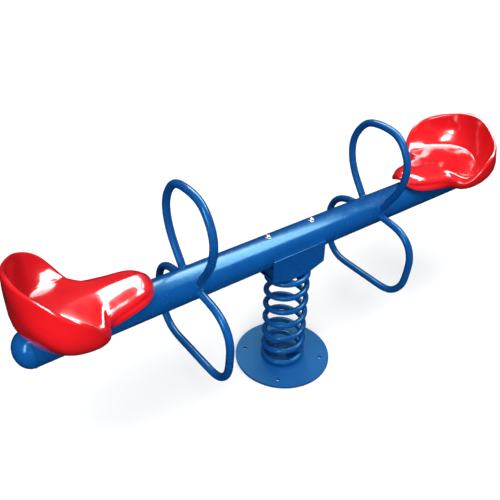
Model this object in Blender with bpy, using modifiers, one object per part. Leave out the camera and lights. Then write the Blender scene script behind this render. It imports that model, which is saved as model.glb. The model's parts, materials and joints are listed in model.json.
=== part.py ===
"""A two-seat playground spring seesaw, in metres, +Z up, with its origin under the middle of the base plate.

The beam lies along X. One heavy coil spring carries it, so it rocks about Y and sways about X on two
empties at the middle of the spring. What sits at one end of the beam is modelled at +X, and its twin is
the same mesh turned half a turn about Z.
"""

import math

import bmesh
import bpy
import numpy as np
from mathutils import Matrix, Vector

# Fits
GAP = 0.0003  # between pieces that touch
HOLE_CLEARANCE = 0.0003  # from a bolt's shank to its hole's wall

# Beam
BEAM_RADIUS = 0.05715
BEAM_WALL = 0.004
BEAM_TUBE_LENGTH = 1.870
BEAM_AXIS_HEIGHT = 0.540
CAP_DOME_DEPTH = 0.046
CAP_SPIGOT_DEPTH = 0.020

# Base plate
BASE_RADIUS = 0.185
BASE_THICKNESS = 0.010
ANCHOR_COUNT = 4
ANCHOR_CIRCLE_RADIUS = 0.150
ANCHOR_HOLE_RADIUS = 0.007

# Coil spring
COIL_RADIUS = 0.0745  # to the middle of the wire
WIRE_RADIUS = 0.0105
COIL_TURNS = 6.71
COIL_LOWER_LEAD = 0.75  # turns over which the wire eases from flat to the full pitch
COIL_UPPER_LEAD = 0.50
COIL_START_DEG = 98.0
COIL_POINTS_PER_TURN = 15

# Spring clamps, at both ends of the spring
CLAMP_WIDTH = 0.026
CLAMP_THICKNESS = 0.008
CLAMP_INNER_RADIUS = 0.020
CLAMP_LEG = 0.012
CLAMP_REACH = 0.004  # past the middle of the wire
CLAMP_BOLT_CIRCLE_RADIUS = 0.046
CLAMP_BOLT_RADIUS = 0.006
CLAMP_BOLT_TAIL = 0.002  # past its nut, at the saddle
CLAMP_BOLT_SHORTFALL = 0.0015  # from its tip to the base plate's underside
LOWER_CLAMP_TURNS = (0.07, 0.57)  # where they grip, in turns from the wire's lower end
UPPER_CLAMP_TURNS = (0.12, 0.62)  # and from its upper end

# Saddle under the beam
SADDLE_HALF_LENGTH = 0.117
SADDLE_FLAT_HALF_LENGTH = 0.045
SADDLE_DEPTH = 0.113  # from the beam's axis to the saddle's underside
SADDLE_END_DEPTH = 0.090
SADDLE_PLATE = 0.006
SADDLE_TOP = 0.004  # how far under the beam's axis the side plates end
CRADLE_LENGTH = 0.034
CRADLE_TOP_DEPTH = 0.046
CRADLE_BOTTOM_DEPTH = 0.074

# Bolts that hold the beam down on its saddle
BEAM_BOLT_X = 0.098
BEAM_BOLT_RADIUS = 0.005
BEAM_BOLT_HEAD_RADIUS = 0.0105
BEAM_BOLT_HEAD_HEIGHT = 0.0095
BEAM_BOLT_TAIL = 0.003

# Hand and foot loops
LOOP_SPACING = 0.394  # from the middle of the seat
LOOP_TUBE_RADIUS = 0.01345
LOOP_SAMPLES = 3

# Seats
SEAT_INSET = 0.135  # from the tube's end to the middle of the seat
SEAT_WALL = 0.005
SEAT_CARRIER_TOP = 0.095  # above the beam's axis
SEAT_CARRIER_START = -0.100  # from the middle of the seat
SEAT_CARRIER_LENGTH = 0.160
SEAT_CARRIER_HALF_WIDTH = 0.036
SEAT_CARRIER_PLATE = 0.006
SEAT_BOLT_INSET = 0.030
SEAT_BOLT_HALF_SPACING = 0.017
SEAT_BOLT_RADIUS = 0.004
SEAT_BOLT_ENGAGEMENT = 0.008
SEAT_BOSS_RADIUS = 0.010
SEAT_BOSS_HEIGHT = 0.0130  # at the nose end
SEAT_REAR_BOSS_HEIGHT = 0.0098

# Hexagons, as multiples of a bolt's radius
HEX_CORNER_RATIO = 1.85
HEX_HEAD_HEIGHT_RATIO = 1.4
NUT_HEIGHT_RATIO = 1.6

HALF_TUBE = BEAM_TUBE_LENGTH / 2
SPRING_BOTTOM = BASE_THICKNESS + GAP
SPRING_TOP = BEAM_AXIS_HEIGHT - SADDLE_DEPTH - GAP
COIL_RISE = SPRING_TOP - SPRING_BOTTOM - 2 * WIRE_RADIUS
COIL_PITCH = COIL_RISE / (COIL_TURNS - (COIL_LOWER_LEAD + COIL_UPPER_LEAD) / 2)
PIVOT_HEIGHT = (SPRING_BOTTOM + SPRING_TOP) / 2
SADDLE_HALF_GAP = BEAM_RADIUS + GAP  # from the middle plane to a side plate's inner face
SEAT_X = HALF_TUBE - SEAT_INSET
LOOP_X = SEAT_X - LOOP_SPACING

# Half of each loop, from inside the beam to the middle plane: (Y, height over the beam's axis)
HANDLE_HALF = (
    (0.030, -0.001),
    (0.062, 0.046),
    (0.094, 0.092),
    (0.120, 0.140),
    (0.1347, 0.200),
    (0.125, 0.262),
    (0.083, 0.3185),
    (0.028, 0.3375),
)
FOOT_HALF = (
    (0.030, -0.004),
    (0.090, -0.012),
    (0.148, -0.024),
    (0.195, -0.057),
    (0.2175, -0.110),
    (0.2165, -0.170),
    (0.204, -0.236),
    (0.166, -0.286),
    (0.118, -0.3035),
    (0.060, -0.3055),
    (0.0, -0.3055),
)

# Stations round one half of a seat, from the middle of the backrest, forward along the wing and the nose.
# Each holds the pan's ridge (X, height), then the pan's edge, the rim, the outer wall's middle and its
# foot as (X, Y, height), the rim's width, and how far the rim's inner edge lies under its top.
# X is from the middle of the seat, and heights are over the beam's axis.
SEAT_STATIONS = (
    ((0.105, 0.114), (0.119, 0.000, 0.121), (0.150, 0.000, 0.259), (0.160, 0.000, 0.155),
     (0.130, 0.000, 0.032), 0.018, 0.006),
    ((0.088, 0.111), (0.103, 0.056, 0.118), (0.138, 0.066, 0.249), (0.153, 0.071, 0.154),
     (0.117, 0.055, 0.030), 0.018, 0.006),
    ((0.068, 0.109), (0.075, 0.101, 0.108), (0.103, 0.128, 0.228), (0.132, 0.133, 0.139),
     (0.084, 0.101, 0.028), 0.018, 0.006),
    ((0.042, 0.109), (0.039, 0.125, 0.098), (0.064, 0.175, 0.199), (0.088, 0.179, 0.113),
     (0.048, 0.126, 0.027), 0.018, 0.006),
    ((0.008, 0.110), (-0.005, 0.133, 0.090), (0.007, 0.187, 0.154), (0.019, 0.191, 0.091),
     (0.006, 0.130, 0.025), 0.017, 0.005),
    ((-0.028, 0.111), (-0.040, 0.116, 0.094), (-0.042, 0.159, 0.082), (-0.040, 0.158, 0.056),
     (-0.030, 0.124, 0.030), 0.014, -0.002),
    ((-0.062, 0.112), (-0.066, 0.076, 0.104), (-0.066, 0.110, 0.079), (-0.067, 0.109, 0.052),
     (-0.060, 0.099, 0.036), 0.012, -0.005),
    ((-0.100, 0.113), (-0.100, 0.058, 0.105), (-0.100, 0.086, 0.088), (-0.099, 0.096, 0.064),
     (-0.095, 0.096, 0.042), 0.012, -0.005),
    ((-0.145, 0.113), (-0.150, 0.048, 0.105), (-0.150, 0.072, 0.091), (-0.150, 0.085, 0.069),
     (-0.148, 0.091, 0.050), 0.012, -0.005),
    ((-0.188, 0.112), (-0.198, 0.037, 0.106), (-0.203, 0.058, 0.093), (-0.204, 0.067, 0.072),
     (-0.206, 0.074, 0.055), 0.012, -0.005),
    ((-0.214, 0.109), (-0.227, 0.018, 0.103), (-0.236, 0.032, 0.091), (-0.241, 0.037, 0.077),
     (-0.243, 0.038, 0.066), 0.010, -0.004),
    ((-0.224, 0.107), (-0.232, 0.000, 0.102), (-0.240, 0.000, 0.095), (-0.246, 0.000, 0.087),
     (-0.248, 0.000, 0.079), 0.008, -0.003),
)
SEAT_RING_SAMPLES = 2
SEAT_PROFILE_SAMPLES = 1


def clear_scene():
    for obj in list(bpy.data.objects):
        bpy.data.objects.remove(obj, do_unlink=True)


def new_collection(name):
    collection = bpy.data.collections.new(name)
    bpy.context.scene.collection.children.link(collection)
    return collection


def new_material(name, colour, roughness, metallic):
    material = bpy.data.materials.new(name)
    material.use_nodes = True
    shader = material.node_tree.nodes["Principled BSDF"]
    shader.inputs["Base Color"].default_value = (*colour, 1.0)
    shader.inputs["Roughness"].default_value = roughness
    shader.inputs["Metallic"].default_value = metallic
    return material


clear_scene()
PARTS = new_collection("spring_seesaw")
CUTTERS = new_collection("cutters")
PAINT = dict(colour=(0.0, 0.10, 0.42), roughness=0.25, metallic=0.0)
PLASTIC = dict(colour=(0.84, 0.012, 0.018), roughness=0.15, metallic=0.0)
ZINC = dict(colour=(0.75, 0.76, 0.78), roughness=0.30, metallic=1.0)


def shade(mesh):
    mesh.shade_smooth()
    mesh.set_sharp_from_angle(angle=math.radians(35))


def add_piece(name, mesh, finish, location=(0, 0, 0), turn=0.0, parent=None):
    """One sub-part. turn is about Z. The mesh may be shared with a twin."""
    shade(mesh)
    obj = bpy.data.objects.new(name, mesh)
    PARTS.objects.link(obj)
    if not mesh.materials:
        mesh.materials.append(new_material(name, **finish))
    obj.location = location
    obj.rotation_euler = (0, 0, turn)
    hang_on(obj, parent)
    return obj


def hang_on(obj, parent):
    if parent is None:
        return
    bpy.context.view_layer.update()
    obj.parent = parent
    obj.matrix_parent_inverse = parent.matrix_world.inverted()


def add_pivot(name, parent=None):
    pivot = bpy.data.objects.new(name, None)
    PARTS.objects.link(pivot)
    pivot.location = (0, 0, PIVOT_HEIGHT)
    pivot.empty_display_size = 0.1
    hang_on(pivot, parent)
    return pivot


def new_mesh(name, build):
    """The mesh that build(bm) makes, with its faces turned outwards."""
    bm = bmesh.new()
    build(bm)
    bmesh.ops.recalc_face_normals(bm, faces=bm.faces)
    mesh = bpy.data.meshes.new(name)
    bm.to_mesh(mesh)
    bm.free()
    return mesh


def rod(bm, radius, low, high, segments=24, at=(0, 0)):
    """A cylinder or prism along Z from low to high."""
    place = Matrix.Translation((at[0], at[1], (low + high) / 2))
    bmesh.ops.create_cone(
        bm, cap_ends=True, segments=segments, radius1=radius, radius2=radius, depth=high - low, matrix=place
    )


def box(bm, low, high):
    low, high = Vector(low), Vector(high)
    place = Matrix.Translation((low + high) / 2) @ Matrix.Diagonal((*(high - low), 1.0))
    bmesh.ops.create_cube(bm, size=1.0, matrix=place)


def boolean(mesh, tools, operation="DIFFERENCE"):
    """The mesh with each tool mesh cut from it or joined to it."""
    host = bpy.data.objects.new("host", mesh)
    CUTTERS.objects.link(host)
    for tool in tools:
        cutter = bpy.data.objects.new("cutter_" + tool.name, tool)
        CUTTERS.objects.link(cutter)
        cutter.hide_render = True
        cutter.display_type = "WIRE"
        modifier = host.modifiers.new(tool.name, "BOOLEAN")
        modifier.operation = operation
        modifier.object = cutter
    bpy.context.view_layer.update()
    graph = bpy.context.evaluated_depsgraph_get()
    result = bpy.data.meshes.new_from_object(host.evaluated_get(graph))
    result.name = mesh.name
    bpy.data.objects.remove(host, do_unlink=True)
    return result


def tube(name, points, radius, resolution):
    """A round bar along points, as a mesh with welded caps."""
    curve = bpy.data.curves.new(name, "CURVE")
    curve.dimensions = "3D"
    curve.bevel_depth = radius
    curve.bevel_resolution = resolution
    curve.use_fill_caps = True
    spline = curve.splines.new("POLY")
    spline.points.add(len(points) - 1)
    for place, point in zip(spline.points, points):
        place.co = (*point, 1.0)
    guide = bpy.data.objects.new(name + "_guide", curve)
    CUTTERS.objects.link(guide)
    bpy.context.view_layer.update()
    graph = bpy.context.evaluated_depsgraph_get()
    mesh = bpy.data.meshes.new_from_object(guide.evaluated_get(graph))
    bpy.data.objects.remove(guide, do_unlink=True)
    bm = bmesh.new()
    bm.from_mesh(mesh)
    bmesh.ops.remove_doubles(bm, verts=bm.verts, dist=1e-5)
    bmesh.ops.recalc_face_normals(bm, faces=bm.faces)
    bm.to_mesh(mesh)
    bm.free()
    mesh.name = name
    return mesh


def smooth(points, samples, closed=False):
    """Points on the even cubic spline through the given points (or rows of points), samples to a span."""
    points = np.asarray(points, float)
    count = len(points)
    blend = np.zeros((count, count))
    for i in range(count):
        if closed or 0 < i < count - 1:
            for step, weight in ((-1, 1 / 6), (0, 4 / 6), (1, 1 / 6)):
                blend[i, (i + step) % count] += weight
        else:
            blend[i, i] = 1.0
    knots = np.linalg.solve(blend, points.reshape(count, -1)).reshape(points.shape)
    if closed:
        knots = np.concatenate([knots[-1:], knots, knots[:2]])
    else:
        knots = np.concatenate([[2 * knots[0] - knots[1]], knots, [2 * knots[-1] - knots[-2]]])
    out = []
    for i in range(count if closed else count - 1):
        a, b, c, d = knots[i : i + 4]
        for k in range(samples):
            t = k / samples
            out.append(
                ((1 - t) ** 3 * a + (3 * t**3 - 6 * t**2 + 4) * b
                 + (-3 * t**3 + 3 * t**2 + 3 * t + 1) * c + t**3 * d) / 6
            )
    if not closed:
        out.append(points[-1])
    return np.array(out)


def bar_along_x(name, radius, start, end, segments=48):
    """A closed cylinder along X at the height of the beam's axis."""
    def build(bm):
        rod(bm, radius, start, end, segments)
        bmesh.ops.rotate(bm, verts=bm.verts, matrix=Matrix.Rotation(math.pi / 2, 3, "Y"))
        bmesh.ops.translate(bm, verts=bm.verts, vec=(0, 0, BEAM_AXIS_HEIGHT))
    return new_mesh(name, build)


def beam_space(reach=2.0):
    """The room that the beam takes, as a cutter for what fits round it."""
    return bar_along_x("beam_space", BEAM_RADIUS + GAP, -reach, reach, 64)


def upright_hole(name, radius, at, low, high):
    return new_mesh(name, lambda bm: rod(bm, radius, low, high, 14, at))


def flat_outline(name, outline, thickness):
    """A plate cut to an outline of (X, Z) points, lying from Y=0 to Y=thickness."""
    def build(bm):
        face = bm.faces.new([bm.verts.new((x, 0, z)) for x, z in outline])
        grown = bmesh.ops.extrude_face_region(bm, geom=[face])
        moved = [v for v in grown["geom"] if isinstance(v, bmesh.types.BMVert)]
        bmesh.ops.translate(bm, verts=moved, vec=(0, thickness, 0))
    return new_mesh(name, build)


# ---------------------------------------------------------------- base and spring


def wire_height(turns):
    """Height of the wire's middle above its lower end, at this many turns from it."""
    left = COIL_TURNS - turns
    if turns < COIL_LOWER_LEAD:
        return 0.5 * COIL_PITCH * turns**2 / COIL_LOWER_LEAD
    if left < COIL_UPPER_LEAD:
        return COIL_RISE - 0.5 * COIL_PITCH * left**2 / COIL_UPPER_LEAD
    return COIL_PITCH * (turns - 0.5 * COIL_LOWER_LEAD)


def wire_angle(turns):
    """The spring is wound right-handed."""
    return math.radians(COIL_START_DEG) + 2 * math.pi * turns


def clamp_bolt_spots(from_top):
    """(angle, turns) of each clamp at one end of the spring."""
    spots = [COIL_TURNS - t for t in UPPER_CLAMP_TURNS] if from_top else LOWER_CLAMP_TURNS
    return [(wire_angle(t), t) for t in spots]


def clamp_bolt_place(angle):
    return (CLAMP_BOLT_CIRCLE_RADIUS * math.cos(angle), CLAMP_BOLT_CIRCLE_RADIUS * math.sin(angle))


def make_base_plate():
    plate = new_mesh("base_plate", lambda bm: rod(bm, BASE_RADIUS, 0, BASE_THICKNESS, 60))
    holes = []
    for i in range(ANCHOR_COUNT):
        angle = 2 * math.pi * (i + 0.5) / ANCHOR_COUNT
        at = (ANCHOR_CIRCLE_RADIUS * math.cos(angle), ANCHOR_CIRCLE_RADIUS * math.sin(angle))
        holes.append((ANCHOR_HOLE_RADIUS, at))
    for angle, _ in clamp_bolt_spots(False):
        holes.append((CLAMP_BOLT_RADIUS + HOLE_CLEARANCE, clamp_bolt_place(angle)))
    margin = BASE_THICKNESS
    tools = [
        upright_hole(f"base_hole_{i}", radius, at, -margin, BASE_THICKNESS + margin)
        for i, (radius, at) in enumerate(holes)
    ]
    add_piece("base_plate", boolean(plate, tools), PAINT)


def make_spring(parent):
    count = round(COIL_TURNS * COIL_POINTS_PER_TURN)
    points = []
    for i in range(count + 1):
        turns = COIL_TURNS * i / count
        angle = wire_angle(turns)
        height = SPRING_BOTTOM + WIRE_RADIUS + wire_height(turns)
        points.append((COIL_RADIUS * math.cos(angle), COIL_RADIUS * math.sin(angle), height))
    add_piece("coil_spring", tube("coil_spring", points, WIRE_RADIUS, 2), PAINT, parent=parent)


def clamp_rise(turns, from_top):
    """From the plate that the spring seats on to the clamp's jaw, clear of the wire over the clamp's width."""
    reach = CLAMP_WIDTH / 2 / COIL_RADIUS / (2 * math.pi)
    spots = [min(max(turns + step, 0), COIL_TURNS) for step in (-reach, reach)]
    if from_top:
        rise = max(COIL_RISE - wire_height(t) for t in spots)
    else:
        rise = max(wire_height(t) for t in spots)
    return rise + 2 * WIRE_RADIUS + 2 * GAP


def clamp_mesh(name, turns, from_top):
    """A hooked clamp that stands on its plate inside the spring and reaches over the wire, along +X."""
    jaw = clamp_rise(turns, from_top)
    back = jaw + CLAMP_THICKNESS
    inner, leg = CLAMP_INNER_RADIUS, CLAMP_INNER_RADIUS + CLAMP_LEG
    tip = COIL_RADIUS + CLAMP_REACH
    outline = [(inner, GAP), (leg, GAP), (leg, jaw), (tip, jaw), (tip, back), (inner, back)]
    block = flat_outline(name, outline, CLAMP_WIDTH)
    block.transform(Matrix.Translation((0, -CLAMP_WIDTH / 2, 0)))
    hole = upright_hole(
        name + "_hole", CLAMP_BOLT_RADIUS + HOLE_CLEARANCE, (CLAMP_BOLT_CIRCLE_RADIUS, 0),
        -CLAMP_THICKNESS, back + CLAMP_THICKNESS,
    )
    return boolean(block, [hole]), back


def hex_bolt_mesh(name, radius, length):
    """A hexagon bolt hanging down from Z=0 by its head's underside."""
    def build(bm):
        rod(bm, radius, -length, radius * 0.5, 16)
    def head(bm):
        rod(bm, radius * HEX_CORNER_RATIO, GAP, radius * HEX_HEAD_HEIGHT_RATIO + GAP, 6)
    return boolean(new_mesh(name, build), [new_mesh(name + "_head", head)], "UNION")


def nut_height(radius):
    return radius * NUT_HEIGHT_RATIO


def nut_mesh(name, radius):
    """A nut standing on Z=0, with room for the bolt through it."""
    height = nut_height(radius)
    body = new_mesh(name, lambda bm: rod(bm, radius * HEX_CORNER_RATIO, GAP, height, 6))
    hole = upright_hole(name + "_hole", radius + GAP, (0, 0), -height, 2 * height)
    return boolean(body, [hole])


def place_end_fitting(mesh, angle, from_top, seat_height):
    """Turns a fitting modelled upright along +X to its angle, upside down at the spring's top."""
    flip = Matrix.Rotation(math.pi, 4, "X") if from_top else Matrix.Identity(4)
    mesh.transform(Matrix.Translation((0, 0, seat_height)) @ Matrix.Rotation(angle, 4, "Z") @ flip)


def make_clamps(end, from_top, parent):
    seat = BEAM_AXIS_HEIGHT - SADDLE_DEPTH if from_top else BASE_THICKNESS
    thickness = SADDLE_PLATE if from_top else BASE_THICKNESS
    for number, (angle, turns) in enumerate(clamp_bolt_spots(from_top), 1):
        name = f"{end}_spring_clamp_{number}"
        mesh, back = clamp_mesh(name, turns, from_top)
        place_end_fitting(mesh, angle, from_top, seat)
        add_piece(name, mesh, PAINT, parent=parent)
        tail = nut_height(CLAMP_BOLT_RADIUS) + CLAMP_BOLT_TAIL if from_top else -CLAMP_BOLT_SHORTFALL
        bolt = hex_bolt_mesh("clamp_bolt", CLAMP_BOLT_RADIUS, back + thickness + tail)
        bolt.transform(Matrix.Translation((CLAMP_BOLT_CIRCLE_RADIUS, 0, back)))
        place_end_fitting(bolt, angle, from_top, seat)
        add_piece(f"{end}_clamp_bolt_{number}", bolt, PAINT, parent=parent)
        if from_top:
            nut = nut_mesh("clamp_nut", CLAMP_BOLT_RADIUS)
            nut.transform(Matrix.Translation((*clamp_bolt_place(angle), seat + SADDLE_PLATE)))
            add_piece(f"{end}_clamp_nut_{number}", nut, PAINT, parent=parent)


# ---------------------------------------------------------------- saddle and beam


def saddle_line(raise_by=0.0):
    """The saddle's underside as (X, Z) points from -X to +X, moved up by raise_by."""
    low, high = BEAM_AXIS_HEIGHT - SADDLE_DEPTH, BEAM_AXIS_HEIGHT - SADDLE_END_DEPTH
    ends, flat = SADDLE_HALF_LENGTH, SADDLE_FLAT_HALF_LENGTH
    line = [(-ends, high), (-flat, low), (flat, low), (ends, high)]
    return [(x, z + raise_by) for x, z in line]


def make_saddle(parent):
    top = BEAM_AXIS_HEIGHT - SADDLE_TOP
    side = saddle_line() + [(SADDLE_HALF_LENGTH, top), (-SADDLE_HALF_LENGTH, top)]
    for name, start in (("front", -SADDLE_HALF_GAP - SADDLE_PLATE), ("rear", SADDLE_HALF_GAP)):
        mesh = flat_outline(f"saddle_{name}_plate", side, SADDLE_PLATE)
        mesh.transform(Matrix.Translation((0, start, 0)))
        add_piece(mesh.name, mesh, PAINT, parent=parent)

    width = 2 * (SADDLE_HALF_GAP - GAP)
    floor = flat_outline("saddle_floor", saddle_line() + saddle_line(SADDLE_PLATE)[::-1], width)
    floor.transform(Matrix.Translation((0, -width / 2, 0)))
    low = BEAM_AXIS_HEIGHT - SADDLE_DEPTH
    holes = [
        upright_hole(f"floor_hole_{i}", CLAMP_BOLT_RADIUS + HOLE_CLEARANCE, clamp_bolt_place(angle),
                     low - SADDLE_PLATE, low + 2 * SADDLE_PLATE)
        for i, (angle, _) in enumerate(clamp_bolt_spots(True))
    ]
    add_piece("saddle_floor", boolean(floor, holes), PAINT, parent=parent)

    def cradle(bm):
        box(
            bm,
            (BEAM_BOLT_X - CRADLE_LENGTH / 2, -width / 2, BEAM_AXIS_HEIGHT - CRADLE_BOTTOM_DEPTH),
            (BEAM_BOLT_X + CRADLE_LENGTH / 2, width / 2, BEAM_AXIS_HEIGHT - CRADLE_TOP_DEPTH),
        )
    hole = upright_hole(
        "cradle_hole", BEAM_BOLT_RADIUS + HOLE_CLEARANCE, (BEAM_BOLT_X, 0),
        BEAM_AXIS_HEIGHT - 2 * CRADLE_BOTTOM_DEPTH, BEAM_AXIS_HEIGHT,
    )
    mesh = boolean(new_mesh("cradle", cradle), [beam_space(), hole])
    add_pair("beam_cradle", mesh, PAINT, parent)


def add_pair(name, mesh, finish, parent):
    """The piece at +X and its twin at -X."""
    add_piece(name + "_right", mesh, finish, parent=parent)
    add_piece(name + "_left", mesh, finish, turn=math.pi, parent=parent)


def turned(name, profile, segments):
    """A turned shape about Z from (radius, Z) points that run down its outer side."""
    mesh = bpy.data.meshes.new(name)
    mesh.from_pydata([(r, 0, z) for r, z in profile], [(i, i + 1) for i in range(len(profile) - 1)], [])
    guide = bpy.data.objects.new(name + "_profile", mesh)
    CUTTERS.objects.link(guide)
    screw = guide.modifiers.new("turn", "SCREW")
    screw.steps = screw.render_steps = segments
    screw.use_merge_vertices = True
    screw.merge_threshold = 0.00001
    bpy.context.view_layer.update()
    graph = bpy.context.evaluated_depsgraph_get()
    result = bpy.data.meshes.new_from_object(guide.evaluated_get(graph))
    bpy.data.objects.remove(guide, do_unlink=True)
    result.name = name
    return result


def make_beam(parent):
    outer = bar_along_x("beam_tube", BEAM_RADIUS, -HALF_TUBE, HALF_TUBE)
    bore = bar_along_x("beam_bore", BEAM_RADIUS - BEAM_WALL, -HALF_TUBE - 0.1, HALF_TUBE + 0.1)
    reach = BEAM_RADIUS + BEAM_WALL
    holes = [
        upright_hole(f"beam_hole_{side}", BEAM_BOLT_RADIUS + HOLE_CLEARANCE, (side * BEAM_BOLT_X, 0),
                     BEAM_AXIS_HEIGHT - reach, BEAM_AXIS_HEIGHT + reach)
        for side in (-1, 1)
    ]
    add_piece("beam_tube", boolean(outer, [bore, *holes]), PAINT, parent=parent)

    steps = 6
    wall = BEAM_WALL
    dome = [
        (BEAM_RADIUS * math.sin(a), CAP_DOME_DEPTH * math.cos(a))
        for a in (math.pi / 2 * i / steps for i in range(steps + 1))
    ]
    inside = [
        ((BEAM_RADIUS - 2 * wall) * math.sin(a), (CAP_DOME_DEPTH - wall) * math.cos(a))
        for a in (math.pi / 2 * (1 - i / steps) for i in range(steps + 1))
    ]
    spigot = BEAM_RADIUS - wall - GAP
    rim = [(spigot, 0.0), (spigot, -CAP_SPIGOT_DEPTH), (spigot - wall, -CAP_SPIGOT_DEPTH)]
    cap = turned("end_cap", dome + rim + inside, 32)
    cap.transform(Matrix.Rotation(math.pi / 2, 4, "Y"))
    cap.transform(Matrix.Translation((HALF_TUBE + GAP, 0, BEAM_AXIS_HEIGHT)))
    add_pair("end_cap", cap, PAINT, parent)

    steps = 4
    head = [
        (BEAM_BOLT_HEAD_RADIUS * math.sin(a), BEAM_BOLT_HEAD_HEIGHT * math.cos(a))
        for a in (math.pi / 2 * i / steps for i in range(steps + 1))
    ]
    tip = -(BEAM_RADIUS + GAP + CRADLE_BOTTOM_DEPTH) - nut_height(BEAM_BOLT_RADIUS) - BEAM_BOLT_TAIL
    shank = [(BEAM_BOLT_RADIUS, 0.0), (BEAM_BOLT_RADIUS, tip), (0.0, tip)]
    bolt = turned("beam_bolt", head + shank, 16)
    bolt.transform(Matrix.Translation((BEAM_BOLT_X, 0, BEAM_AXIS_HEIGHT + BEAM_RADIUS + GAP)))
    add_pair("beam_bolt", bolt, ZINC, parent)
    nut = nut_mesh("beam_nut", BEAM_BOLT_RADIUS)
    place = (BEAM_BOLT_X, 0, BEAM_AXIS_HEIGHT - CRADLE_BOTTOM_DEPTH)
    nut.transform(Matrix.Translation(place) @ Matrix.Rotation(math.pi, 4, "X"))
    add_pair("beam_nut", nut, ZINC, parent)


def loop_points(half):
    """A whole loop at +X from its half, mirrored in the middle plane."""
    points = [(LOOP_X, y, BEAM_AXIS_HEIGHT + z) for y, z in half]
    back = [(x, -y, z) for x, y, z in reversed(points) if y > 0]
    return smooth(points + back, LOOP_SAMPLES)


def make_loops(parent):
    for name, half in (("hand_loop", HANDLE_HALF), ("foot_loop", FOOT_HALF)):
        mesh = tube(name, loop_points(half), LOOP_TUBE_RADIUS, 3)
        add_pair(name, boolean(mesh, [beam_space()]), PAINT, parent)


# ---------------------------------------------------------------- seats


def station_profile(station):
    """Points down one station of the seat, from the pan's ridge over the rim to the outer wall's foot."""
    (ridge_x, ridge_z), edge, rim, outer, foot, width, drop = station
    ridge = Vector((ridge_x, 0, ridge_z))
    edge, rim, outer, foot = Vector(edge), Vector(rim), Vector(outer), Vector(foot)
    away = (rim - ridge).xy.to_3d().normalized()
    up = Vector((0, 0, 1))
    inner_rim = rim - away * width * 0.45 - up * drop
    outer_rim = rim + away * width * 0.45 - up * abs(drop)
    wall = (inner_rim - edge).length
    push = away * wall * (0.09 if drop > 0 else 0.02)
    return [
        ridge,
        ridge.lerp(edge, 0.55),
        edge,
        edge.lerp(inner_rim, 0.20) + push,
        edge.lerp(inner_rim, 0.60) + push,
        inner_rim,
        rim,
        outer_rim,
        outer_rim.lerp(outer, 0.5) + away * 0.002,
        outer,
        outer.lerp(foot, 0.5) + away * (outer - foot).length * 0.12,
        foot,
    ]


def seat_surface(ring_samples, profile_samples):
    """Rows of points round the seat, one row for each place down the profile."""
    half = []
    for station in SEAT_STATIONS:
        profile = np.array([tuple(p) for p in station_profile(station)])
        other = profile[:0:-1] * (1, -1, 1)
        across = smooth(np.concatenate([other, profile]), profile_samples)
        half.append(across[len(other) * profile_samples :])
    half = np.array(half)
    ring = np.concatenate([half, half[-2:0:-1] * (1, -1, 1)])
    return smooth(ring, ring_samples, closed=True)


def seat_shell():
    grid = seat_surface(SEAT_RING_SAMPLES, SEAT_PROFILE_SAMPLES)
    around, down = grid.shape[:2]

    def build(bm):
        verts = [[bm.verts.new(point) for point in row] for row in grid]
        for i in range(around):
            for j in range(down - 1):
                near, far = verts[i], verts[(i + 1) % around]
                bm.faces.new((near[j], near[j + 1], far[j + 1], far[j]))
        bmesh.ops.remove_doubles(bm, verts=bm.verts, dist=1e-5)
        ends = [v for v in bm.verts if len(v.link_edges) == 2]
        bmesh.ops.dissolve_verts(bm, verts=ends)
    mesh = new_mesh("seat_shell", build)
    if sum(p.normal.z * p.area for p in mesh.polygons) < 0:
        mesh.flip_normals()
    shell = bpy.data.objects.new("seat_shell", mesh)
    CUTTERS.objects.link(shell)
    solidify = shell.modifiers.new("wall", "SOLIDIFY")
    solidify.thickness = SEAT_WALL
    solidify.offset = -1
    bpy.context.view_layer.update()
    graph = bpy.context.evaluated_depsgraph_get()
    result = bpy.data.meshes.new_from_object(shell.evaluated_get(graph))
    bpy.data.objects.remove(shell, do_unlink=True)
    result.transform(Matrix.Translation((SEAT_X, 0, BEAM_AXIS_HEIGHT)))
    return result


def seat_bolt_spots():
    start = SEAT_X + SEAT_CARRIER_START + SEAT_BOLT_INSET
    end = SEAT_X + SEAT_CARRIER_START + SEAT_CARRIER_LENGTH - SEAT_BOLT_INSET
    return [(x, side * SEAT_BOLT_HALF_SPACING) for x in (start, end) for side in (-1, 1)]


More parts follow.
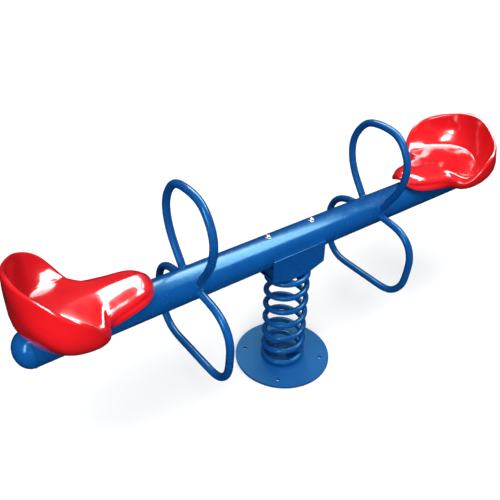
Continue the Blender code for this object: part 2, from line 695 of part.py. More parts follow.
def make_seats(parent):
    top = BEAM_AXIS_HEIGHT + SEAT_CARRIER_TOP
    bosses = []
    for i, at in enumerate(seat_bolt_spots()):
        height = SEAT_BOSS_HEIGHT if at[0] < SEAT_X else SEAT_REAR_BOSS_HEIGHT
        bosses.append(upright_hole(f"boss_{i}", SEAT_BOSS_RADIUS, at, top + GAP, top + height))
    holes = [
        upright_hole(f"boss_hole_{i}", SEAT_BOLT_RADIUS + HOLE_CLEARANCE, at,
                     top - GAP, top + SEAT_BOLT_ENGAGEMENT + GAP)
        for i, at in enumerate(seat_bolt_spots())
    ]
    seat = boolean(seat_shell(), [beam_space()])
    seat = boolean(seat, bosses, "UNION")
    seat.name = "seat"
    add_pair("seat", boolean(seat, holes), PLASTIC, parent)

    plate = SEAT_CARRIER_PLATE
    start = SEAT_X + SEAT_CARRIER_START
    end = start + SEAT_CARRIER_LENGTH
    half = SEAT_CARRIER_HALF_WIDTH

    def block(bm):
        box(bm, (start, -half, BEAM_AXIS_HEIGHT), (end, half, top))

    def inside(bm):
        box(bm, (start - plate, plate - half, BEAM_AXIS_HEIGHT - plate),
            (end + plate, half - plate, top - plate))
    bolt_holes = [
        upright_hole(f"carrier_hole_{i}", SEAT_BOLT_RADIUS + HOLE_CLEARANCE, at, top - 2 * plate, top + plate)
        for i, at in enumerate(seat_bolt_spots())
    ]
    tools = [new_mesh("carrier_inside", inside), beam_space(), *bolt_holes]
    add_pair("seat_carrier", boolean(new_mesh("carrier", block), tools), PAINT, parent)

    bolt = hex_bolt_mesh("seat_bolt", SEAT_BOLT_RADIUS, plate + SEAT_BOLT_ENGAGEMENT)
    bolt.transform(Matrix.Rotation(math.pi, 4, "X"))
    for number, (x, y) in enumerate(seat_bolt_spots(), 1):
        height = top - plate
        for side, turn in (("right", 0.0), ("left", math.pi)):
            sign = 1 if turn == 0 else -1
            add_piece(f"seat_bolt_{side}_{number}", bolt, ZINC, (sign * x, sign * y, height), turn, parent)


def main():
    rock = add_pivot("rock_pivot")
    sway = add_pivot("sway_pivot", rock)
    make_base_plate()
    make_clamps("lower", False, None)
    make_spring(rock)
    make_clamps("upper", True, sway)
    make_saddle(sway)
    make_beam(sway)
    make_loops(sway)
    make_seats(sway)
    for cutter in CUTTERS.objects:
        cutter.hide_render = True
        cutter.display_type = "WIRE"


main()
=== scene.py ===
"""The looks of the spring seesaw: gloss blue paint, gloss red moulded seats and bright zinc bolts."""

import json
import math

import bmesh
import bpy
import numpy as np
from mathutils import Matrix, Vector

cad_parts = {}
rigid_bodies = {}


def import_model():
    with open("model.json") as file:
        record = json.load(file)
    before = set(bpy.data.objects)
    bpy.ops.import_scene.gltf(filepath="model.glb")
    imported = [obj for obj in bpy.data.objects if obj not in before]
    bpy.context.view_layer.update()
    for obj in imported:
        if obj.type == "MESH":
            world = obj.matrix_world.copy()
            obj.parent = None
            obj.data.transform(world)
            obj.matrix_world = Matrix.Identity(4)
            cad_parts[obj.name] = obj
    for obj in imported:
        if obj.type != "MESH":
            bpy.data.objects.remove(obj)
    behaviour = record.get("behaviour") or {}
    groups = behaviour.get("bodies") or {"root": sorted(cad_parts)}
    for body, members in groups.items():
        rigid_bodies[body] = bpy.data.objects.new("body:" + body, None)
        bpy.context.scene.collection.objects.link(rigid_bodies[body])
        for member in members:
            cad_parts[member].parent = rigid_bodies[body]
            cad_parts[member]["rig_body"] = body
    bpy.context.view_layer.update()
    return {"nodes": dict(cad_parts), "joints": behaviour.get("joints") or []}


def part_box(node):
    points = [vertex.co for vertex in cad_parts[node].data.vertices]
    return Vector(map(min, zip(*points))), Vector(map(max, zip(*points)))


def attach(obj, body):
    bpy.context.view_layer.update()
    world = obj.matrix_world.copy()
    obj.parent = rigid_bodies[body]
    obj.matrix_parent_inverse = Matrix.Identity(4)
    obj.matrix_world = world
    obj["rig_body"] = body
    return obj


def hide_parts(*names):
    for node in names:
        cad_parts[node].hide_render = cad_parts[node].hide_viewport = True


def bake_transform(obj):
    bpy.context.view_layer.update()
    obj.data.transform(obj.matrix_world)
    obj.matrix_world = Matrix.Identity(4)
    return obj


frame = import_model()


# Sizes that come from the frame
TUBE_LOW, TUBE_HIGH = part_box("beam_tube")
BEAM_RADIUS = (TUBE_HIGH.z - TUBE_LOW.z) / 2
AXIS_Z = (TUBE_HIGH.z + TUBE_LOW.z) / 2
HALF_TUBE = TUBE_HIGH.x
LOOP_X = sum(corner.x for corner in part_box("hand_loop_right")) / 2
SPRING_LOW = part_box("coil_spring")[0].z
SPRING_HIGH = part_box("coil_spring")[1].z
SADDLE_LOW, SADDLE_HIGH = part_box("saddle_front_plate")
PIVOT = Vector(frame["joints"][0]["pos_m"])

SIDES = (("right", 0.0), ("left", math.pi))  # each side's turn about Z

# The camera, as solved from the outlines in the photo
CAMERA_PLACE = (-1.2142, -1.3739, 1.7616)
CAMERA_AIM_DEG = (37.15, 34.54, 1.407)  # yaw, down and roll
CAMERA_LENS_MM = 44.94

GAP = 0.0003  # between pieces that touch

# How finely the round shapes are drawn
BEAM_SIDES = 96
TUBE_SIDES = 28
WIRE_SIDES = 24
WIRE_STEPS_PER_TURN = 56
BEAD_SIDES = 10
DOME_WELD_POINTS = 400
BOLT_SIDES = 40
SPAN = 12  # samples to a span of a smooth curve

# Sizes that the frame doesn't hold, as in the part
BEAM_WALL = 0.004
CAP_DEPTH = 0.046
LOOP_TUBE_RADIUS = 0.01345
COIL_RADIUS = 0.0745
WIRE_RADIUS = 0.0105
COIL_TURNS = 6.71
COIL_LOWER_LEAD = 0.75  # turns over which the wire eases from flat to the full pitch
COIL_UPPER_LEAD = 0.50
COIL_START_DEG = 98.0
SEAT_WALL = 0.005
SEAT_CREASE = 0.011  # how far from the pan's edge the crease starts to turn up
SEAT_NOSE_ROLL = 0.022
SEAT_LIP = 0.0025
SEAT_NOSE_LIP = 0.004
SEAT_RIM_ROLL = 0.005

# Welds
SADDLE_WELD_DEG = 15.0  # how far up the beam's side the saddle's weld reaches
SADDLE_WELD_INSET = 0.0012  # from the side plate's outer top edge to the weld's foot
SADDLE_WELD_WAIST = (0.0024, 0.0040)  # out from the beam and up from the plate, where its face bends
SADDLE_WELD_END = 0.001  # from the side plate's end to the weld's
SADDLE_WELD_SLICES = 240
SADDLE_WELD_STEPS = 8  # round its face
LOOP_WELD_RADIUS = 0.0030
DOME_WELD_RADIUS = 0.0016
WELD_STEP = 0.0008
RIPPLE_LENGTH = 0.0032
RIPPLE_SHARE = 0.10

# Bolts on the beam
BEAM_BOLT_RADIUS = 0.005
BEAM_BOLT_HEAD_RADIUS = 0.0105
BEAM_BOLT_HEAD_HEIGHT = 0.0095
BEAM_BOLT_COLLAR = 0.0012

EDGE_ROUND = 0.0012  # on the painted plates
FASTENER_ROUND = 0.0005
FLOOR_DROP = 0.0008  # keeps the floor from lying in the base plate's own face

# Half of each loop, from inside the beam round to its middle: (Y, height over the beam's axis)
HANDLE_HALF = (
    (0.030, -0.001), (0.062, 0.046), (0.094, 0.092), (0.120, 0.140),
    (0.1347, 0.200), (0.125, 0.262), (0.083, 0.3185), (0.028, 0.3375),
)
FOOT_HALF = (
    (0.030, -0.004), (0.090, -0.012), (0.148, -0.024), (0.195, -0.057), (0.2175, -0.110), (0.2165, -0.170),
    (0.204, -0.236), (0.166, -0.286), (0.118, -0.3035), (0.060, -0.3055), (0.0, -0.3055),
)

# Stations round one half of a seat, from the middle of the backrest, forward along the wing and the nose.
# Each holds the pan's ridge (X, height), then the pan's edge, the rim, the outer wall's middle and its
# foot as (X, Y, height), the rim's width, and how far the rim's inner edge lies under its top.
SEAT_STATIONS = (
    ((0.905, 0.114), (0.919, 0.000, 0.121), (0.950, 0.000, 0.259), (0.960, 0.000, 0.155),
     (0.930, 0.000, 0.032), 0.018, 0.006),
    ((0.888, 0.111), (0.903, 0.056, 0.118), (0.938, 0.066, 0.249), (0.953, 0.071, 0.154),
     (0.917, 0.055, 0.030), 0.018, 0.006),
    ((0.868, 0.109), (0.875, 0.101, 0.108), (0.903, 0.128, 0.228), (0.932, 0.133, 0.139),
     (0.884, 0.101, 0.028), 0.018, 0.006),
    ((0.842, 0.109), (0.839, 0.125, 0.098), (0.864, 0.175, 0.199), (0.888, 0.179, 0.113),
     (0.848, 0.126, 0.027), 0.018, 0.006),
    ((0.808, 0.110), (0.795, 0.133, 0.090), (0.807, 0.187, 0.154), (0.819, 0.191, 0.091),
     (0.806, 0.130, 0.025), 0.017, 0.005),
    ((0.772, 0.111), (0.760, 0.116, 0.094), (0.758, 0.159, 0.082), (0.760, 0.158, 0.056),
     (0.770, 0.124, 0.030), 0.014, -0.002),
    ((0.738, 0.112), (0.734, 0.076, 0.104), (0.734, 0.110, 0.079), (0.733, 0.109, 0.052),
     (0.740, 0.099, 0.036), 0.012, -0.005),
    ((0.700, 0.113), (0.700, 0.058, 0.105), (0.700, 0.086, 0.088), (0.701, 0.096, 0.064),
     (0.705, 0.096, 0.042), 0.012, -0.005),
    ((0.655, 0.113), (0.650, 0.048, 0.105), (0.650, 0.072, 0.091), (0.650, 0.085, 0.069),
     (0.652, 0.091, 0.050), 0.012, -0.005),
    ((0.612, 0.112), (0.602, 0.037, 0.106), (0.597, 0.058, 0.093), (0.596, 0.067, 0.072),
     (0.594, 0.074, 0.055), 0.012, -0.005),
    ((0.586, 0.109), (0.573, 0.018, 0.103), (0.564, 0.032, 0.091), (0.559, 0.037, 0.077),
     (0.557, 0.038, 0.066), 0.010, -0.004),
    ((0.576, 0.107), (0.568, 0.000, 0.102), (0.560, 0.000, 0.095), (0.554, 0.000, 0.087),
     (0.552, 0.000, 0.079), 0.008, -0.003),
)

# ---------------------------------------------------------------- camera


def aim(yaw_deg, down_deg, roll_deg):
    """A camera's rotation: yaw from +Y towards +X, then down, then rolled."""
    yaw, down, roll = (math.radians(a) for a in (yaw_deg, down_deg, roll_deg))
    ahead = Vector((math.sin(yaw) * math.cos(down), math.cos(yaw) * math.cos(down), -math.sin(down)))
    right = Vector((math.cos(yaw), -math.sin(yaw), 0))
    up = right.cross(ahead)
    rolled = right * math.cos(roll) + up * math.sin(roll)
    upright = up * math.cos(roll) - right * math.sin(roll)
    return Matrix((rolled, upright, -ahead)).transposed().to_4x4()


def make_camera():
    data = bpy.data.cameras.new("camera")
    data.sensor_width = 36.0
    data.lens = CAMERA_LENS_MM
    camera = bpy.data.objects.new("camera", data)
    bpy.context.scene.collection.objects.link(camera)
    camera.matrix_world = Matrix.Translation(CAMERA_PLACE) @ aim(*CAMERA_AIM_DEG)
    bpy.context.scene.camera = camera


make_camera()

# ---------------------------------------------------------------- materials


class Nodes:
    """Short calls for building one material."""

    def __init__(self, name):
        self.material = bpy.data.materials.new(name)
        self.material.use_nodes = True
        self.tree = self.material.node_tree
        self.shader = self.tree.nodes["Principled BSDF"]
        self.place = self.add("ShaderNodeTexCoord").outputs["Object"]

    def add(self, kind, **values):
        node = self.tree.nodes.new(kind)
        for key, value in values.items():
            setattr(node, key, value)
        return node

    def link(self, source, target):
        self.tree.links.new(source, target)

    def noise(self, scale, detail=2.0, roughness=0.5):
        node = self.add("ShaderNodeTexNoise")
        self.link(self.place, node.inputs["Vector"])
        node.inputs["Scale"].default_value = scale
        node.inputs["Detail"].default_value = detail
        node.inputs["Roughness"].default_value = roughness
        return node.outputs["Fac"]

    def remap(self, value, low, high, to_low, to_high):
        node = self.add("ShaderNodeMapRange")
        self.link(value, node.inputs["Value"])
        node.inputs["From Min"].default_value = low
        node.inputs["From Max"].default_value = high
        node.inputs["To Min"].default_value = to_low
        node.inputs["To Max"].default_value = to_high
        return node.outputs["Result"]

    def math(self, operation, first, second):
        node = self.add("ShaderNodeMath", operation=operation)
        for socket, value in zip(node.inputs, (first, second)):
            if isinstance(value, (int, float)):
                socket.default_value = value
            else:
                self.link(value, socket)
        return node.outputs["Value"]

    def mix(self, factor, first, second):
        node = self.add("ShaderNodeMix", data_type="RGBA")
        self.link(factor, node.inputs["Factor"])
        for socket, value in ((node.inputs["A"], first), (node.inputs["B"], second)):
            if isinstance(value, tuple):
                socket.default_value = (*value, 1.0)
            else:
                self.link(value, socket)
        return node.outputs["Result"]

    def bump(self, height, strength, distance, under=None):
        node = self.add("ShaderNodeBump")
        self.link(height, node.inputs["Height"])
        node.inputs["Strength"].default_value = strength
        node.inputs["Distance"].default_value = distance
        if under is not None:
            self.link(under, node.inputs["Normal"])
        return node.outputs["Normal"]

    def set(self, **values):
        for key, value in values.items():
            socket = self.shader.inputs[key.replace("_", " ")]
            if isinstance(value, bpy.types.NodeSocket):
                self.link(value, socket)
            else:
                socket.default_value = value


def gloss_paint(name, colour, deep, roughness=0.20):
    """Gloss powder coat: slight colour drift, orange peel, and fine rubbed scratches."""
    n = Nodes(name)
    drift = n.noise(5.0, 3.0)
    speckle = n.noise(700.0, 2.0)
    base = n.mix(n.remap(drift, 0.35, 0.65, 0.0, 1.0), deep, colour)
    rub = n.math("MULTIPLY", n.remap(n.noise(9.0, 4.0), 0.60, 0.72, 0.0, 1.0),
                 n.remap(n.noise(260.0, 4.0, 0.7), 0.60, 0.66, 0.0, 0.35))
    worn = tuple(c * 0.6 + 0.10 for c in colour)
    n.set(
        Base_Color=n.mix(rub, base, worn),
        Roughness=n.math("ADD", n.remap(n.noise(30.0, 3.0), 0.3, 0.7, roughness, roughness + 0.10),
                         n.math("MULTIPLY", rub, 0.5)),
        Normal=n.bump(speckle, 0.05, 0.0004, n.bump(n.noise(120.0, 2.0), 0.06, 0.001)),
        Coat_Weight=0.08, Coat_Roughness=0.06, Specular_IOR_Level=0.36, Specular_Tint=(0.20, 0.78, 1.0, 1.0),
    )
    return n.material


def moulded_plastic(name, colour, deep):
    """Gloss moulded polyethylene: clouded colour, soft sink waves, and fine scuffs where riders slide."""
    n = Nodes(name)
    cloud = n.remap(n.noise(7.0, 3.0), 0.35, 0.65, 0.0, 1.0)
    scuff = n.math("MULTIPLY", n.remap(n.noise(12.0, 3.0), 0.55, 0.70, 0.0, 1.0),
                   n.remap(n.noise(330.0, 5.0, 0.7), 0.58, 0.66, 0.0, 0.25))
    pale = tuple(c * 0.85 + 0.08 for c in colour)
    n.set(
        Base_Color=n.mix(scuff, n.mix(cloud, deep, colour), pale),
        Roughness=n.math("ADD", n.remap(n.noise(24.0, 3.0), 0.3, 0.7, 0.13, 0.20),
                         n.math("MULTIPLY", scuff, 0.5)),
        Normal=n.bump(n.noise(900.0, 2.0), 0.03, 0.0003, n.bump(n.noise(38.0, 1.0), 0.05, 0.001)),
        Coat_Weight=0.7, Coat_Roughness=0.04,
    )
    return n.material


def bright_zinc(name):
    """Zinc plate with fine brushing and a slight yellow-grey stain."""
    n = Nodes(name)
    stain = n.remap(n.noise(60.0, 4.0), 0.4, 0.7, 0.0, 1.0)
    n.set(
        Base_Color=n.mix(stain, (0.80, 0.81, 0.83), (0.62, 0.62, 0.60)),
        Metallic=1.0,
        Roughness=n.remap(n.noise(240.0, 3.0), 0.3, 0.7, 0.18, 0.36),
        Normal=n.bump(n.noise(1500.0, 2.0), 0.08, 0.0002),
    )
    return n.material


BLUE = gloss_paint("blue_gloss_paint", (0.004, 0.082, 0.31), (0.003, 0.066, 0.26))
TRODDEN_BLUE = gloss_paint("trodden_blue_paint", (0.004, 0.080, 0.30), (0.003, 0.064, 0.25), 0.50)
RED = moulded_plastic("red_gloss_plastic", (0.82, 0.011, 0.017), (0.77, 0.009, 0.015))
ZINC = bright_zinc("bright_zinc")

# ---------------------------------------------------------------- mesh tools


def add_piece(name, mesh, material, body="rocker", stands_for=(), turn=0.0):
    """A finished piece, riding on its body."""
    mesh.materials.clear()
    mesh.materials.append(material)
    mesh.shade_smooth()
    mesh.set_sharp_from_angle(angle=math.radians(38))
    obj = bpy.data.objects.new(name, mesh)
    bpy.context.scene.collection.objects.link(obj)
    obj.rotation_euler = (0, 0, turn)
    if body:
        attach(obj, body)
    if stands_for:
        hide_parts(*stands_for)
    return obj


def add_pair(name, mesh, material, stands_for):
    """The piece at +X and its twin at -X, each for the CAD node of its side."""
    for side, turn in SIDES:
        own = mesh if turn == 0 else mesh.copy()
        add_piece(f"{name}_{side}", own, material, stands_for=(f"{stands_for}_{side}",), turn=turn)


def grid_mesh(name, grid, wrap_rows=False, wrap_columns=False, caps=False):
    """Quads over rows of points. caps close the first and the last row with a flat face."""
    grid = np.asarray(grid, float)
    rows, columns = grid.shape[:2]
    bm = bmesh.new()
    verts = [[bm.verts.new(point) for point in row] for row in grid]
    for i in range(rows if wrap_rows else rows - 1):
        near, far = verts[i], verts[(i + 1) % rows]
        for j in range(columns if wrap_columns else columns - 1):
            k = (j + 1) % columns
            bm.faces.new((near[j], near[k], far[k], far[j]))
    if caps:
        bm.faces.new(verts[0])
        bm.faces.new(verts[-1])
    bmesh.ops.remove_doubles(bm, verts=bm.verts, dist=1e-6)
    bmesh.ops.recalc_face_normals(bm, faces=bm.faces)
    mesh = bpy.data.meshes.new(name)
    bm.to_mesh(mesh)
    bm.free()
    return mesh


def smooth(points, samples, closed=False):
    """Points on the even cubic spline through the given points (or rows of points), samples to a span."""
    points = np.asarray(points, float)
    count = len(points)
    blend = np.zeros((count, count))
    for i in range(count):
        if closed or 0 < i < count - 1:
            for step, weight in ((-1, 1 / 6), (0, 4 / 6), (1, 1 / 6)):
                blend[i, (i + step) % count] += weight
        else:
            blend[i, i] = 1.0
    knots = np.linalg.solve(blend, points.reshape(count, -1)).reshape(points.shape)
    if closed:
        knots = np.concatenate([knots[-1:], knots, knots[:2]])
    else:
        knots = np.concatenate([[2 * knots[0] - knots[1]], knots, [2 * knots[-1] - knots[-2]]])
    out = []
    for i in range(count if closed else count - 1):
        a, b, c, d = knots[i : i + 4]
        for k in range(samples):
            t = k / samples
            out.append(
                ((1 - t) ** 3 * a + (3 * t**3 - 6 * t**2 + 4) * b
                 + (-3 * t**3 + 3 * t**2 + 3 * t + 1) * c + t**3 * d) / 6
            )
    if not closed:
        out.append(points[-1])
    return np.array(out)


def lengths(path):
    """How far along the path each of its points lies."""
    return np.concatenate([[0.0], np.cumsum(np.linalg.norm(np.diff(path, axis=0), axis=1))])


def along(path, run, spots):
    """The points that lie these lengths along the path."""
    return np.stack([np.interp(spots, run, path[:, k]) for k in range(3)], axis=1)


def sweep(points, radius, sides, closed=False):
    """Rings of points round a path. radius is a number or one for each point."""
    points = np.asarray(points, float)
    if closed:
        ahead = np.roll(points, -1, 0) - np.roll(points, 1, 0)
    else:
        ahead = np.gradient(points, axis=0)
    ahead /= np.linalg.norm(ahead, axis=1)[:, None]
    across = np.cross(ahead[0], (1.0, 0.0, 0.0))
    if np.linalg.norm(across) < 0.1:
        across = np.cross(ahead[0], (0.0, 1.0, 0.0))
    radius = np.broadcast_to(radius, len(points))
    angles = np.linspace(0, 2 * math.pi, sides, endpoint=False)[:, None]
    rings = []
    for point, direction, size in zip(points, ahead, radius):
        across = across - direction * (across @ direction)
        across /= np.linalg.norm(across)
        other = np.cross(direction, across)
        rings.append(point + size * (np.cos(angles) * across + np.sin(angles) * other))
    return np.array(rings)


def turned(name, profile, sides, axis, at):
    """A turned shape from (radius, height) points, about Z or laid along X."""
    angles = np.linspace(0, 2 * math.pi, sides, endpoint=False)
    rows = [[(r * math.cos(a), r * math.sin(a), h) for a in angles] for r, h in profile]
    mesh = grid_mesh(name, rows, wrap_columns=True)
    if axis == "X":
        mesh.transform(Matrix.Rotation(math.pi / 2, 4, "Y"))
    mesh.transform(Matrix.Translation(at))
    return mesh


def finished(obj):
    """Applies an object's modifiers."""
    bpy.context.view_layer.update()
    graph = bpy.context.evaluated_depsgraph_get()
    mesh = bpy.data.meshes.new_from_object(obj.evaluated_get(graph))
    obj.modifiers.clear()
    obj.data = mesh


def rounded(node, material, width):
    """The CAD node's own shape with its edges rounded, standing for it."""
    bm = bmesh.new()
    bm.from_mesh(frame["nodes"][node].data)
    bmesh.ops.remove_doubles(bm, verts=bm.verts, dist=1e-6)
    bmesh.ops.dissolve_limit(bm, angle_limit=math.radians(1), verts=bm.verts, edges=bm.edges)
    mesh = bpy.data.meshes.new(node + "_painted")
    bm.to_mesh(mesh)
    bm.free()
    body = frame["nodes"][node]["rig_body"]
    obj = add_piece(node + "_finished", mesh, material, body, (node,))
    bevel = obj.modifiers.new("round", "BEVEL")
    bevel.width = width
    bevel.segments = 2
    bevel.limit_method = "ANGLE"
    bevel.angle_limit = math.radians(40)
    bevel.harden_normals = True
    finished(obj)


# ---------------------------------------------------------------- seats


def seat_corners(station):
    """The corners of one station's profile, from the pan's ridge to the outer wall's foot."""
    (ridge_x, ridge_z), edge, rim, outer, foot, width, drop = station
    ridge = Vector((ridge_x, 0, ridge_z))
    edge, rim, outer, foot = Vector(edge), Vector(rim), Vector(outer), Vector(foot)
    away = (rim - ridge).xy.to_3d().normalized()
    up = Vector((0, 0, 1))
    inner_rim = rim - away * width * 0.45 - up * drop
    outer_rim = rim + away * width * 0.45 - up * abs(drop)
    return ridge, edge, inner_rim, rim, outer_rim, outer, foot, away


def leg(points, trims, samples):
    """Even samples along the smooth curve through points, with a length trimmed off each end."""
    curve = smooth([tuple(p) for p in points], SPAN)
    run = lengths(curve)
    return along(curve, run, np.linspace(trims[0], run[-1] - trims[1], samples))


def corner(before, at, after, samples):
    """Points that turn a corner smoothly from the end of one leg to the start of the next."""
    at = np.array(tuple(at))
    t = (np.arange(samples)[:, None] + 1) / (samples + 1)
    return (1 - t) ** 2 * before[-1] + 2 * t * (1 - t) * at + t**2 * after[0]


def seat_profile(station, fine):
    """Points down one station: flat pan, tight crease, bowed wall, rim with a crisp lip, outer wall."""
    ridge, edge, inner_rim, rim, outer_rim, outer, foot, away = seat_corners(station)
    raised = inner_rim.z > edge.z
    wall = (inner_rim - edge).length
    push = away * wall * (0.09 if raised else 0.02)
    mirror = Vector((1, -1, 1))
    across = (edge - ridge).length
    crease = min(SEAT_CREASE if raised else SEAT_NOSE_ROLL, wall * 0.4, across * 0.4)
    lip = min(SEAT_LIP if raised else SEAT_NOSE_LIP, (rim - inner_rim).length * 0.6)
    roll = min(SEAT_RIM_ROLL, (outer_rim - rim).length * 0.8)
    middle = ridge.lerp(edge, 0.5) + Vector((0, 0, across * 0.01))
    pan = smooth([tuple(p) for p in (edge * mirror, middle * mirror, ridge, middle, edge)], SPAN)[2 * SPAN :]
    pan = leg(pan[::3], (0, crease), fine)
    side = leg((edge, edge.lerp(inner_rim, 0.3) + push, edge.lerp(inner_rim, 0.65) + push, inner_rim),
               (crease, lip), fine)
    land = leg((inner_rim, rim, outer_rim), (lip, roll), max(3, fine // 2))
    skirt = leg((outer_rim, outer_rim.lerp(outer, 0.5) + away * 0.002, outer,
                 outer.lerp(foot, 0.5) + away * (outer - foot).length * 0.12, foot), (roll, 0), fine + 3)
    turns = fine // 2 + 1
    return np.concatenate([
        pan, corner(pan, edge, side, turns), side, corner(side, inner_rim, land, turns),
        land, corner(land, outer_rim, skirt, turns), skirt,
    ])


def seat_surface(ring_samples, fine):
    half = np.array([seat_profile(station, fine) for station in SEAT_STATIONS])
    ring = np.concatenate([half, half[-2:0:-1] * (1, -1, 1)])
    return smooth(ring, ring_samples, closed=True)


def make_seats():
    mesh = grid_mesh("seat", seat_surface(ring_samples=9, fine=8), wrap_rows=True)
    if sum(p.normal.z * p.area for p in mesh.polygons) < 0:
        mesh.flip_normals()
    mesh.transform(Matrix.Translation((0, 0, AXIS_Z)))
    shell = bpy.data.objects.new("seat_guide", mesh)
    bpy.context.scene.collection.objects.link(shell)
    solidify = shell.modifiers.new("wall", "SOLIDIFY")
    solidify.thickness = SEAT_WALL
    solidify.offset = -1
    clear = BEAM_RADIUS + GAP
    profile = [(0, -1), (clear, -1), (clear, 1), (0, 1)]
    room = bpy.data.objects.new("beam_room", turned("beam_room", profile, BEAM_SIDES, "X", (0, 0, AXIS_Z)))
    bpy.context.scene.collection.objects.link(room)
    cut = shell.modifiers.new("beam", "BOOLEAN")
    cut.operation = "DIFFERENCE"
    cut.object = room
    finished(shell)
    result = shell.data
    bpy.data.objects.remove(shell)
    bpy.data.objects.remove(room)
    add_pair("seat_moulding", result, RED, "seat")


# ---------------------------------------------------------------- beam, loops and welds


def bead(name, path, size, turn):
    """A weld: a bar with even ripples along a closed path."""
    path = np.asarray(path, float)
    run = lengths(path)
    ripple = 1 + RIPPLE_SHARE * np.sin(run / RIPPLE_LENGTH * 2 * math.pi)
    rings = sweep(path, size * ripple, BEAD_SIDES, closed=True)
    mesh = grid_mesh(name, rings, wrap_rows=True, wrap_columns=True)
    add_piece(name, mesh, BLUE, turn=turn)


def dense(path, step):
    """The closed path with points an even step apart."""
    path = np.asarray([*path, path[0]], float)
    run = lengths(path)
    spots = np.linspace(0, run[-1], max(8, int(run[-1] / step)) + 1)[:-1]
    return along(path, run, spots)


def from_axis(points):
    points = np.asarray(points)
    return np.hypot(points[..., 1], points[..., 2] - AXIS_Z)


def make_loops():
    for name, half in (("hand_loop", HANDLE_HALF), ("foot_loop", FOOT_HALF)):
        points = [(LOOP_X, y, AXIS_Z + z) for y, z in half]
        back = [(x, -y, z) for x, y, z in reversed(points) if y > 0]
        path = smooth(points + back, SPAN)
        outside = np.nonzero(from_axis(path) > BEAM_RADIUS - BEAM_WALL)[0]
        path = path[outside[0] : outside[-1] + 1]
        rings = sweep(path, LOOP_TUBE_RADIUS, TUBE_SIDES)
        mesh = grid_mesh(name, rings, wrap_columns=True, caps=True)
        add_pair(name + "_tube", mesh, BLUE, name)
        for end, part in (("rear", rings[: len(rings) // 3]), ("front", rings[: -len(rings) // 3 : -1])):
            away = from_axis(part) - BEAM_RADIUS
            seam = []
            for k in range(part.shape[1]):
                i = max(1, int(np.argmax(away[:, k] > 0)))
                share = -away[i - 1, k] / (away[i, k] - away[i - 1, k])
                seam.append(part[i - 1, k] + min(max(share, 0), 1) * (part[i, k] - part[i - 1, k]))
            seam = dense(seam, WELD_STEP)
            for side, turn in SIDES:
                bead(f"{name}_weld_{end}_{side}", seam, LOOP_WELD_RADIUS, turn)


def saddle_fillet(name, sign):
    """The dressed weld that runs from a side plate's top edge up onto the beam."""
    foot = (-SADDLE_LOW.y - SADDLE_WELD_INSET, SADDLE_HIGH.z - SADDLE_WELD_INSET)
    rise = math.radians(SADDLE_WELD_DEG)
    head = (BEAM_RADIUS * math.cos(rise), AXIS_Z + BEAM_RADIUS * math.sin(rise))
    waist = (BEAM_RADIUS + SADDLE_WELD_WAIST[0], SADDLE_HIGH.z + SADDLE_WELD_WAIST[1])
    face = [(1 - t) ** 2 * np.array(foot) + 2 * t * (1 - t) * np.array(waist) + t**2 * np.array(head)
            for t in np.linspace(0, 1, SADDLE_WELD_STEPS + 1)]
    # The last two corners lie inside the beam and the side plate
    back = [(BEAM_RADIUS - 0.001, AXIS_Z), (BEAM_RADIUS + 0.0005, foot[1])]
    outline = [*face, *back]
    length = SADDLE_HIGH.x - SADDLE_LOW.x - 2 * SADDLE_WELD_END
    rows = []
    for i in range(SADDLE_WELD_SLICES + 1):
        x = SADDLE_LOW.x + SADDLE_WELD_END + length * i / SADDLE_WELD_SLICES
        waver = 0.00025 * math.sin(x * 310) + 0.00015 * math.sin(x * 830)
        waves = [waver if 0 < k < SADDLE_WELD_STEPS else 0.0 for k in range(len(outline))]
        rows.append([(x, sign * (y + wave), z) for wave, (y, z) in zip(waves, outline)])
    return grid_mesh(name, rows, wrap_columns=True, caps=True)


def make_beam():
    ends, inner = HALF_TUBE, BEAM_RADIUS - BEAM_WALL
    steps = 60
    skin = [(BEAM_RADIUS, -ends + 2 * ends * i / steps) for i in range(steps + 1)]
    profile = [(inner, -ends)] + skin + [(inner, ends), (inner, -ends)]
    skin = turned("beam_skin", profile, BEAM_SIDES, "X", (0, 0, AXIS_Z))
    add_piece("beam_skin", skin, BLUE, stands_for=("beam_tube",))
    steps = 16
    dome = [(BEAM_RADIUS * math.sin(a), CAP_DEPTH * math.cos(a))
            for a in (math.pi / 2 * i / steps for i in range(steps + 1))]
    inside = [(inner * math.sin(a), (CAP_DEPTH - BEAM_WALL) * math.cos(a))
              for a in (math.pi / 2 * (1 - i / steps) for i in range(steps + 1))]
    cap = turned("end_dome", dome + inside, BEAM_SIDES, "X", (HALF_TUBE + GAP, 0, AXIS_Z))
    add_pair("end_dome", cap, BLUE, "end_cap")
    ring = [(HALF_TUBE, BEAM_RADIUS * math.cos(a), AXIS_Z + BEAM_RADIUS * math.sin(a))
            for a in np.linspace(0, 2 * math.pi, DOME_WELD_POINTS, endpoint=False)]
    for side, turn in SIDES:
        bead(f"end_dome_weld_{side}", ring, DOME_WELD_RADIUS, turn)
    for side, sign in (("front", -1), ("rear", 1)):
        add_piece(f"saddle_weld_{side}", saddle_fillet(f"saddle_weld_{side}", sign), BLUE)


def make_bolts():
    """Domed heads with a thin collar, standing on the beam."""
    steps = 12
    radius, height, collar = BEAM_BOLT_HEAD_RADIUS, BEAM_BOLT_HEAD_HEIGHT, BEAM_BOLT_COLLAR
    low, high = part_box("beam_bolt_right")
    dome = [(radius * 0.94 * math.sin(a), collar + (height - collar) * math.cos(a))
            for a in (math.pi / 2 * i / steps for i in range(steps + 1))]
    depth = (high.z - low.z) - height
    profile = dome + [(radius, collar * 0.8), (radius, 0.0), (BEAM_BOLT_RADIUS, 0.0),
                      (BEAM_BOLT_RADIUS, -depth), (0.0, -depth)]
    at = ((low.x + high.x) / 2, 0, high.z - height)
    add_pair("beam_bolt_zinc", turned("beam_bolt_zinc", profile, BOLT_SIDES, "Z", at), ZINC, "beam_bolt")


